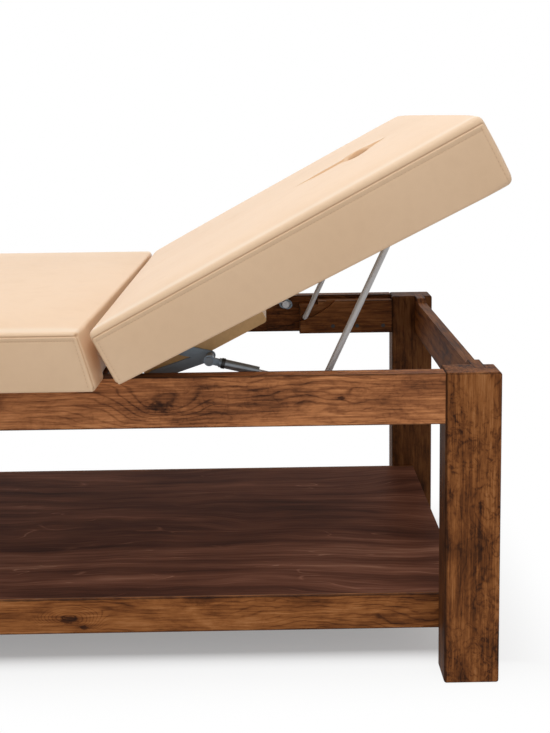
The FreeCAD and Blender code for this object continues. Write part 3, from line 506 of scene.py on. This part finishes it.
def set_points(piece, points):
    piece.data.vertices.foreach_set("co", points.astype(np.float32).ravel())
    piece.data.update()


def normals_of(piece):
    no = np.zeros(len(piece.data.vertices) * 3, np.float32)
    piece.data.vertices.foreach_get("normal", no)
    return no.reshape(-1, 3).astype(float)


def only(piece):
    """Deselects everything, then picks one object."""
    bpy.ops.object.select_all(action="DESELECT")
    piece.select_set(True)
    bpy.context.view_layer.objects.active = piece


def boxed_grid(name, low, high, radii, top_roll, seam_depth):
    """A top grid with its rim extruded down the sides and in under the board, drawn to rolled edges."""
    xs = levels(low[0] + start_shrink, high[0] - start_shrink)
    ys = levels(low[1] + start_shrink, high[1] - start_shrink)
    ys = np.sort(np.concatenate([ys[np.abs(ys) > slit_lane], centre_steps]))
    thickness = high[2] - low[2]
    depths = np.concatenate([roll_shares * (seam_depth - seam_clearance), seam_depth + seam_steps, side_steps,
                             foot_steps[foot_steps < thickness - mm], [thickness]])
    bpy.ops.object.select_all(action="DESELECT")
    bpy.ops.mesh.primitive_grid_add(x_subdivisions=len(xs) - 1, y_subdivisions=len(ys) - 1, size=2)
    piece = bpy.context.object
    piece.name = name
    bpy.ops.object.mode_set(mode="EDIT")
    bpy.ops.mesh.select_mode(type="EDGE")
    bpy.ops.mesh.select_all(action="DESELECT")
    bpy.ops.mesh.select_non_manifold()
    for _ in range(len(depths) - 1 + len(rim_insets)):
        bpy.ops.mesh.extrude_region_move(TRANSFORM_OT_translate={"value": (0, 0, -1)})
    bpy.ops.object.mode_set(mode="OBJECT")
    co = points_of(piece)
    column = np.rint((co[:, 0] + 1) / 2 * (len(xs) - 1)).astype(int)
    line = np.rint((co[:, 1] + 1) / 2 * (len(ys) - 1)).astype(int)
    row = np.rint(-co[:, 2]).astype(int)
    rim = np.clip(row - len(depths) + 1, 0, None)
    t = depths[np.minimum(row, len(depths) - 1)]
    s_rim = np.concatenate([[0.0], rim_insets])[rim]
    flat = np.stack([xs[column], ys[line]], 1)
    plan_radius = np.where(flat[:, 0] < (low[0] + high[0]) / 2, *radii)
    corner = plan_radius[:, None]
    core = np.clip(flat, np.array([xs[0], ys[0]]) + corner, np.array([xs[-1], ys[-1]]) - corner)
    away = flat - core
    reach = np.abs(away).max(1)
    length = np.hypot(*away.T)
    outward = np.where(length[:, None] > 0, away / np.maximum(length, 1e-9)[:, None], 0.0)
    flat = core + outward * reach[:, None]
    inset = plan_radius - reach + s_rim
    to_end = np.abs(flat[:, 0] - np.where(radii[1] > radii[0], high[0], low[0]))
    near_end = np.clip(1 - to_end / end_roll_reach, 0, 1)
    s, t = rolled(inset, t, top_roll + (end_roll - top_roll) * near_end)
    s, up = rolled(s, thickness - t, foot_roll + (end_roll - foot_roll) * near_end)
    t = thickness - up
    flat = flat - outward * (s - inset + s_rim)[:, None]
    set_points(piece, np.column_stack([flat, high[2] - t]))
    return piece


def rolled(s, t, radius):
    """Rounds the corner between two faces: s is in from one face and t from the other."""
    near = (s < radius) & (t < radius)
    a = np.where(near, radius - s, radius)
    b = np.where(near, radius - t, 0.0)
    length = np.hypot(a, b)
    return (np.where(near, radius - radius * a / length, s),
            np.where(near, radius - radius * b / length, t))


def puff(piece, low, high):
    """Blows the cover up in a short cloth run, then limits how far each point went."""
    start = points_of(piece)
    facing = normals_of(piece)
    from_top = high[2] - start[:, 2]
    from_foot = start[:, 2] - low[2]
    in_x = np.minimum(start[:, 0] - low[0], high[0] - start[:, 0])
    in_y = np.minimum(start[:, 1] - low[1], high[1] - start[:, 1])
    side = np.minimum(in_x, in_y)
    hold = np.zeros(len(start))
    hold[(side < held_side) & (from_top < held_edge)] = 0.75
    hold[np.maximum(in_x, in_y) < held_corner] = 0.9
    hold[from_foot < held_foot] = 1.0
    cap = np.where(facing[:, 2] > 0.6, top_cap, side_cap)
    group = piece.vertex_groups.new(name="held")
    for weight in (0.75, 0.9, 1.0):
        group.add([int(i) for i in np.flatnonzero(hold == weight)], weight, "REPLACE")
    cloth = piece.modifiers.new("puff", "CLOTH").settings
    cloth.vertex_group_mass = "held"
    cloth.quality = 5
    cloth.mass = 0.4
    cloth.tension_stiffness = 22
    cloth.compression_stiffness = 22
    cloth.shear_stiffness = 8
    cloth.bending_stiffness = 2.5
    cloth.use_pressure = True
    cloth.uniform_pressure_force = puff_pressure
    cloth.effector_weights.gravity = 0
    for frame_number in range(1, cloth_frames + 1):
        scene.frame_set(frame_number)
    puffed = piece.evaluated_get(bpy.context.evaluated_depsgraph_get())
    co = np.zeros(len(start) * 3, np.float32)
    puffed.data.vertices.foreach_get("co", co)
    move = co.reshape(-1, 3) - start
    piece.modifiers.clear()
    piece.vertex_groups.clear()
    scene.frame_set(1)
    far = np.linalg.norm(move, axis=1)
    limited = cap * np.tanh(far / cap)
    set_points(piece, start + move * (limited / np.maximum(far, 1e-9))[:, None])


def refine(piece):
    """Smooths the cover once, so that the seams have mesh to sit in."""
    only(piece)
    modifier = piece.modifiers.new("finer", "SUBSURF")
    modifier.levels = modifier.render_levels = 1
    bpy.ops.object.modifier_apply(modifier="finer")


def seam_distance(points, low, high, seam_depth):
    """Signed distance, on a side face, from the seam that runs up one end, along the top and down."""
    middle = (low[0] + high[0]) / 2
    half = (high[0] - low[0]) / 2 - seam_end_inset - seam_corner
    a = np.abs(points[:, 0] - middle) - half
    b = points[:, 2] - (high[2] - seam_depth - seam_corner)
    outside = np.hypot(np.maximum(a, 0), np.maximum(b, 0))
    return outside + np.minimum(np.maximum(a, b), 0) - seam_corner


def sew(piece, low, high, seam_depth, tuck_at):
    """Sinks the seam into both side faces, lifts the doubled cloth beside it, tucks one pair of corners, and
    sets the seam tones: dark seams, painted shade in the tucks, a painted highlight band along the top.
    """
    points = points_of(piece)
    facing = normals_of(piece)
    on_side = np.clip((np.minimum(points[:, 1] - low[1], high[1] - points[:, 1]) < side_band)
                      * (np.abs(facing[:, 1]) - 0.25) * 2, 0, 1)
    gap = seam_distance(points, low, high, seam_depth)
    groove = np.exp(-(gap / groove_width) ** 2)
    band = (np.exp(-((gap + band_place) / band_width) ** 2)
            + 0.4 * np.exp(-((gap + second_band_place) / second_band_width) ** 2))
    row = np.exp(-((gap + stitch_offset) / row_width) ** 2)
    run = points[:, 0] + points[:, 2] * 0.8
    pucker = (np.sin(run * 290) + np.sin(run * 411 + 1.3) + np.sin(run * 173 + 0.4)) / 3
    lift = (band * (band_rise + pucker * pucker_rise) - groove * groove_depth - row * row_depth) * on_side
    set_points(piece, points + facing * lift[:, None])
    dark = np.clip(groove * on_side + row * on_side * 0.18, 0, 1)
    if tuck_at:
        off = np.hypot(points[:, 0] - tuck_at, points[:, 2] - high[2] + seam_depth - tuck_rise)
        tuck = np.exp(-(off / tuck_radius) ** 2) * (np.abs(points[:, 1]) > high[1] - side_band)
        set_points(piece, points_of(piece) - facing * (tuck * tuck_depth)[:, None])
        # Painted shade in the tuck's fold
        dark = np.maximum(dark, tuck * 1.4)
    # Painted highlight: a pale band on the top, just in from both long edges
    inward = np.minimum(points[:, 1] - low[1], high[1] - points[:, 1])
    painted_highlight_band = np.exp(-((inward - highlight_band_place) / highlight_band_width) ** 2) * np.clip(facing[:, 2], 0, 1)
    dark = dark - painted_highlight_band * highlight_band_share
    seam = piece.data.attributes.new("seam", "FLOAT", "POINT")
    seam.data.foreach_set("value", dark.astype(np.float32))


def seam_line(low, high, seam_depth):
    """Places of the stitches in a side face, with the way each one points."""
    inset = seam_end_inset + stitch_offset
    bend = seam_corner - stitch_offset
    left = low[0] + inset
    right = high[0] - inset
    top = high[2] - seam_depth - stitch_offset
    foot = low[2] + stitch_foot
    arc = [(left + bend - bend * math.cos(a), top - bend + bend * math.sin(a))
           for a in np.linspace(0, math.pi / 2, 5)]
    path = [(left, foot)] + arc + [(left + right - x, z) for x, z in reversed(arc)] + [(right, foot)]
    path = np.array(path)
    run = np.concatenate([[0], np.cumsum(np.hypot(*np.diff(path, axis=0).T))])
    spots = np.arange(stitch_pitch / 2, run[-1], stitch_pitch)
    x = np.interp(spots, run, path[:, 0])
    z = np.interp(spots, run, path[:, 1])
    ahead = np.minimum(spots + mm, run[-1])
    dx = np.interp(ahead, run, path[:, 0]) - x
    dz = np.interp(ahead, run, path[:, 1]) - z
    return np.stack([x, z, dx, dz], 1)


def stitches(name, piece, low, high, seam_depth):
    """One thread end is modelled and copied along both side faces, lying on the cover."""
    bpy.ops.object.select_all(action="DESELECT")
    bpy.ops.mesh.primitive_uv_sphere_add(segments=6, ring_count=5, radius=1)
    one = bpy.context.object
    one.data.transform(Matrix.Diagonal((stitch_length / 2, stitch_radius, stitch_radius, 1)))
    form = points_of(one)
    faces = [tuple(p.vertices) for p in one.data.polygons]
    bpy.data.objects.remove(one)
    tree = BVHTree.FromPolygons([tuple(p) for p in points_of(piece)],
                                [tuple(p.vertices) for p in piece.data.polygons])
    made, sides = [], []
    for side in (-1, 1):
        for x, z, dx, dz in seam_line(low, high, seam_depth):
            hit, normal, _, _ = tree.ray_cast(Vector((x, side * 2.0, z)), Vector((0, -side, 0)))
            if hit is None:
                continue
            way = Vector((dx, 0, dz))
            way = (way - normal * way.dot(normal)).normalized()
            turn = np.array([way, normal.cross(way), normal])
            sides += [tuple(i + len(made) * len(form) for i in f) for f in faces]
            made.append(form @ turn + np.array(hit + normal * stitch_radius * 0.25))
    mesh = bpy.data.meshes.new(name)
    mesh.from_pydata(np.concatenate(made).tolist(), [], sides)
    thing = bpy.data.objects.new(name, mesh)
    scene.collection.objects.link(thing)
    return thing


def close_under(piece, low, ceiling):
    """Takes the rim up inside, round the board, and closes it above the board."""
    only(piece)
    bpy.ops.object.mode_set(mode="EDIT")
    bpy.ops.mesh.select_mode(type="EDGE")
    bpy.ops.mesh.select_all(action="DESELECT")
    bpy.ops.mesh.select_non_manifold()
    bpy.ops.mesh.extrude_region_move(TRANSFORM_OT_translate={"value": (0, 0, ceiling - low[2])})
    bpy.ops.mesh.edge_face_add()
    bpy.ops.mesh.select_all(action="SELECT")
    bpy.ops.mesh.normals_make_consistent(inside=False)
    bpy.ops.object.mode_set(mode="OBJECT")


def settle(piece, low, high, rakes, growth, bow, flare, tilt):
    """Rounds the lower hinge corner, leans and bows the head end, grows it, and turns the piece up."""
    points = points_of(piece)
    hinge_end = (high[0] - points[:, 0]) if rakes[0] else (points[:, 0] - low[0])
    p = hinge_foot_radius - hinge_end
    q = hinge_foot_radius - (points[:, 2] - low[2])
    pull = np.where((p > 0) & (q > 0), np.maximum(p, q) / np.maximum(np.hypot(p, q), 1e-9), 1.0)
    points[:, 0] += p * (1 - pull) * (-1 if rakes[0] else 1)
    points[:, 2] += q * (1 - pull)
    rise = (points[:, 2] - low[2]) / (high[2] - low[2])
    height = np.clip(rise, 0, 1)
    below = np.clip(1 - rise, 0, 1)
    side = np.clip((points[:, 1] - low[1]) / (high[1] - low[1]), 0, 1)
    lean = np.clip((points[:, 0] - (high[0] - lean_reach)) / lean_reach, 0, 1)
    points[:, 0] -= (rakes[0] + (rakes[1] - rakes[0]) * side) * lean * rise
    across = np.abs(points[:, 1] / high[1])
    points[:, 0] += bow * lean * np.clip(1 - across ** 6, 0, 1) * (0.45 + 0.55 * np.sin(np.pi * height))
    outer = np.clip((np.abs(points[:, 1]) - flare_from) / (flare_to - flare_from), 0, 1)
    points[:, 0] += flare * np.clip(lean * 2.2 - 1.2, 0, 1) * outer ** 2 * (3 - 2 * outer) * below ** 0.8
    share = np.clip((points[:, 0] - low[0]) / (high[0] - low[0]), 0, 1)
    points[:, 2] += share * (growth[1] * height - growth[0] * below)
    dx = points[:, 0] - pin.x
    dz = points[:, 2] - pin.z
    points[:, 0] = pin.x + dx * math.cos(tilt) - dz * math.sin(tilt)
    points[:, 2] = pin.z + dx * math.sin(tilt) + dz * math.cos(tilt)
    set_points(piece, points)


def shade(piece):
    """Smooth faces, with sharp edges where the angle is steep."""
    only(piece)
    bpy.ops.object.shade_smooth_by_angle(angle=math.radians(smooth_angle))


def flat_box(node, tilt):
    """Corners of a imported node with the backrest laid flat."""
    points = points_of(nodes[node])
    dx = points[:, 0] - pin.x
    dz = points[:, 2] - pin.z
    points[:, 0] = pin.x + dx * math.cos(tilt) + dz * math.sin(tilt)
    points[:, 2] = pin.z - dx * math.sin(tilt) + dz * math.cos(tilt)
    return points.min(0), points.max(0)


# Breathing slit, with the crease that runs on from both its ends
board_thickness = 15.3 * mm
board_gap = 0.5 * mm
slit_centre = 508 * mm
slit_half = 34 * mm
slit_gap = 1.9 * mm
slit_y = -1.0 * mm
cutter_half_height = 100 * mm
crease_low = -140 * mm
crease_high = 62 * mm
crease_width = 7 * mm
crease_depth = 1.5 * mm
crease_near_dip = 1.4 * mm
crease_far_rise = 2.6 * mm
near_dip = 4.6 * mm
near_reach = 70 * mm
far_rise = 3.0 * mm
far_reach = 24 * mm
lip_roll = 8 * mm
lip_drop = 2.5 * mm
# Where the painted highlight on the far fold lies, and how wide it is
ridge_place = 9 * mm
ridge_width = 6 * mm
slit_levels = np.array([3.0, -1.0, -5.0, -10.0, -18.0]) * mm
# Where the painted shade on the slit's wall starts, and over what depth it grows
wall_shade_start = 4 * mm
wall_shade_depth = 13 * mm


def seam_tones(piece):
    """How dark (above 0: seams and painted shade) or pale with painted highlight (below 0) the cover is at
    each point.
    """
    tones = np.zeros(len(piece.data.vertices), np.float32)
    piece.data.attributes["seam"].data.foreach_get("value", tones)
    return tones


def set_seam_tones(piece, tones):
    piece.data.attributes["seam"].data.foreach_set("value", tones.astype(np.float32))


def slit_cutter(low, high):
    """A lens-shaped block with rings at several depths, so that the wall can darken downwards."""
    bpy.ops.object.select_all(action="DESELECT")
    bpy.ops.mesh.primitive_cylinder_add(vertices=36, radius=1, depth=2)
    cutter = bpy.context.object
    form = points_of(cutter)
    sweep = np.arctan2(form[:, 1], form[:, 0])
    x = np.cos(sweep)
    wide = (1 - x ** 2) * np.sign(np.sin(sweep))
    set_points(cutter, np.column_stack([low[0] + slit_centre + x * slit_half, wide * slit_gap + slit_y,
                                        (low[2] + high[2]) / 2 + form[:, 2] * cutter_half_height]))
    bpy.ops.object.mode_set(mode="EDIT")
    for level in slit_levels:
        bpy.ops.mesh.select_all(action="SELECT")
        bpy.ops.mesh.bisect(plane_co=(0, 0, high[2] + level), plane_no=(0, 0, 1))
    bpy.ops.object.mode_set(mode="OBJECT")
    return cutter


def breathing_slit(piece, low, high):
    """Sinks the near lip, rolls the far lip into the slit, draws the crease with painted shade, paints a
    highlight on the far fold, cuts the slit through and paints shade on its wall.
    """
    points = points_of(piece)
    u = points[:, 0] - (low[0] + slit_centre)
    v = points[:, 1]
    on_top = np.clip((points[:, 2] - (high[2] - 2 * mm)) / (2 * mm), 0, 1)
    along = np.clip((u + slit_half) / (2 * slit_half), 0, 1)
    open_share = along ** 0.9 * (1 - along) ** 1.2 * 3.98
    pull = np.clip((u - crease_low) / (60 * mm), 0, 1) * np.clip((crease_high - u) / (24 * mm), 0, 1)
    near = np.exp(-np.abs(v / near_reach) ** 1.5) * (v < 0)
    far = np.exp(-(v / far_reach) ** 2) * (v >= 0)
    crease = np.exp(-((v - slit_y) / crease_width) ** 2)
    into = np.clip(1 - (v + 2 * mm) / lip_roll, 0, 1) * (v > -3 * mm)
    drop = 1 - np.sqrt(np.clip(1 - into ** 2, 0, 1))
    points[:, 2] += on_top * (pull * (far * crease_far_rise - near * crease_near_dip - crease * crease_depth)
                              + open_share * (far * far_rise - near * near_dip
                                              - drop * (near_dip + lip_drop) * (v > slit_y)))
    set_points(piece, points)
    tones = seam_tones(piece)
    # Painted highlight along the raised far fold
    tones -= on_top * pull * np.exp(-((v - ridge_place) / ridge_width) ** 2) * 0.6
    # Painted shade in the crease
    tones += on_top * pull * np.exp(-((v - slit_y) / (crease_width / 2)) ** 2) * 0.12
    set_seam_tones(piece, tones)
    cutter = slit_cutter(low, high)
    only(piece)
    cut = piece.modifiers.new("slit", "BOOLEAN")
    cut.operation = "DIFFERENCE"
    cut.solver = "EXACT"
    cut.object = cutter
    bpy.ops.object.modifier_apply(modifier="slit")
    bpy.data.objects.remove(cutter)
    points = points_of(piece)
    u = (points[:, 0] - (low[0] + slit_centre)) / slit_half
    # Painted shade on the slit's wall, darker with depth
    in_wall = np.abs(points[:, 1] - slit_y) < slit_gap * (1 - u ** 2) + 0.05 * mm
    depth = np.clip((high[2] + wall_shade_start - points[:, 2]) / wall_shade_depth, 0, 1.2)
    set_seam_tones(piece, np.where(in_wall & (np.abs(u) < 1.001), depth, seam_tones(piece)))


def cushion(name, node, body, radii, roll, seam_depth, rakes, growth, bow, flare, tilt, extra=None):
    """Makes a cushion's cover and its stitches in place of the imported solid."""
    low, high = flat_box(node, tilt)
    piece = boxed_grid(name, low, high, radii, roll, seam_depth)
    puff(piece, low, high)
    refine(piece)
    sew(piece, low, high, seam_depth, high[0] - seam_end_inset if rakes[0] else None)
    close_under(piece, low, low[2] - board_gap + board_thickness)
    threads = stitches(name + "_stitches", piece, low, high, seam_depth)
    if extra:
        extra(piece, low, high)
    for thing, material in ((piece, cream), (threads, thread)):
        settle(thing, low, high, rakes, growth, bow, flare, tilt)
        thing.data.materials.clear()
        thing.data.materials.append(material)
        shade(thing)
        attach(thing, body)
    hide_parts(node)


cushion("base_pad", "base_cushion", "frame", (end_radius, base_hinge_radius), base_roll, base_seam_depth,
        base_rakes, (0.0, 0.0), base_bow, base_flare, 0.0)
cushion("back_pad", "backrest_cushion", "backrest", (back_hinge_radius, end_radius), back_roll,
        back_seam_depth, (0.0, 0.0), back_growth, back_bow, 0.0, rest_tilt, breathing_slit)


# ---------------------------------------------------------------- stage, light and camera

# Where the shadow on the floor fades out, from the bed's middle, and how white the floor shows under the bed
shadow_x, shadow_x_dark, shadow_x_half, shadow_x_pale = 0.86, 0.94, 0.92, 1.12
shadow_y, shadow_y_dark, shadow_y_pale = 0.200, 0.285, 0.420
under_bed_white = 0.28
studio_light = 0.52
studio_white = 1.0
studio_shine = 1.1


def stage_floor():
    """Pale floor that shows white away from the bed and keeps the bed's shadow near it."""
    bpy.ops.object.select_all(action="DESELECT")
    bpy.ops.mesh.primitive_plane_add(size=60, location=(0, 0, -0.0005))
    floor = bpy.context.object
    floor.name = "floor"
    paint = Paint("pale_floor")
    rays = paint.node("ShaderNodeLightPath", {}, {}, "Is Camera Ray")
    glossy = paint.node("ShaderNodeLightPath", {}, {}, "Is Glossy Ray")
    x, y, _ = paint.axes
    aside = y.size().step(shadow_y, shadow_y_dark) * 0.8 + y.size().step(shadow_y, shadow_y_pale) * 0.2
    beyond = x.size().step(shadow_x, shadow_x_dark) * 0.75 + x.size().step(shadow_x_half, shadow_x_pale) * 0.25
    far = aside.most(beyond).most(under_bed_white)
    seen = rays.most(glossy)
    paint.finish(Base_Color=paint.mix(rays, (0.78, 0.78, 0.78), (0.97, 0.97, 0.97)), Roughness=0.9,
                 Specular_IOR_Level=0.0)
    white = paint.node("ShaderNodeEmission", {}, {"Color": (1, 1, 1, 1), "Strength": 1.0})
    mixed = paint.node("ShaderNodeMixShader", {}, {0: seen * far, 1: Value(paint, paint.shader.outputs[0]),
                                                   2: white})
    paint.tree.links.new(mixed.socket, paint.tree.nodes["Material Output"].inputs["Surface"])
    floor.data.materials.append(paint.material)


def background(tree, strength):
    """A plain white background of one strength."""
    made = tree.nodes.new("ShaderNodeBackground")
    made.inputs["Color"].default_value = (1, 1, 1, 1)
    made.inputs["Strength"].default_value = strength
    return made


def world_light():
    """White studio: soft light on the bed, a plain white for the camera, a brighter one for reflections."""
    world = bpy.data.worlds.new("studio")
    scene.world = world
    world.use_nodes = True
    tree = world.node_tree
    tree.nodes.remove(tree.nodes["Background"])
    back = background(tree, studio_light)
    seen = background(tree, studio_white)
    bright = background(tree, studio_shine)
    rays = tree.nodes.new("ShaderNodeLightPath")
    widest = tree.nodes.new("ShaderNodeMath")
    widest.operation = "MAXIMUM"
    tree.links.new(rays.outputs["Is Camera Ray"], widest.inputs[0])
    tree.links.new(rays.outputs["Is Transmission Ray"], widest.inputs[1])
    shine = tree.nodes.new("ShaderNodeMixShader")
    tree.links.new(rays.outputs["Is Glossy Ray"], shine.inputs[0])
    tree.links.new(back.outputs[0], shine.inputs[1])
    tree.links.new(bright.outputs[0], shine.inputs[2])
    mixed = tree.nodes.new("ShaderNodeMixShader")
    tree.links.new(widest.outputs[0], mixed.inputs[0])
    tree.links.new(shine.outputs[0], mixed.inputs[1])
    tree.links.new(seen.outputs[0], mixed.inputs[2])
    tree.links.new(mixed.outputs[0], tree.nodes["World Output"].inputs["Surface"])


def lamp(name, place, aim, width, power):
    """A square soft lamp that points at a spot."""
    light = bpy.data.lights.new(name, "AREA")
    light.shape = "SQUARE"
    light.size = width
    light.energy = power
    thing = bpy.data.objects.new(name, light)
    scene.collection.objects.link(thing)
    thing.location = place
    thing.rotation_euler = (Vector(aim) - Vector(place)).to_track_quat("-Z", "Y").to_euler()
    return thing


def take_camera():
    """The photo's camera, as fitted to its points."""
    data = bpy.data.cameras.new("camera")
    data.sensor_width = sensor_width
    data.lens = focal_pixels * sensor_width / picture_height
    data.shift_y = horizon_shift
    camera = bpy.data.objects.new("camera", data)
    scene.collection.objects.link(camera)
    turn = (Matrix.Rotation(math.radians(camera_yaw), 4, "Z")
            @ Matrix.Rotation(math.radians(camera_pitch), 4, "X")
            @ Matrix.Rotation(math.radians(camera_roll), 4, "Z"))
    camera.matrix_world = Matrix.Translation(camera_place) @ turn
    scene.camera = camera


stage_floor()
world_light()
lamp("softbox", (0.2, -0.9, 3.2), (0.2, 0.0, 0.4), 2.6, 45.0)
sheen = lamp("sheen", (0.0, 4.0, 1.7), (0.0, 0.0, 0.6), 5.0, 30.0)
sheen.visible_diffuse = False
take_camera()
scene.view_settings.view_transform = "Standard"
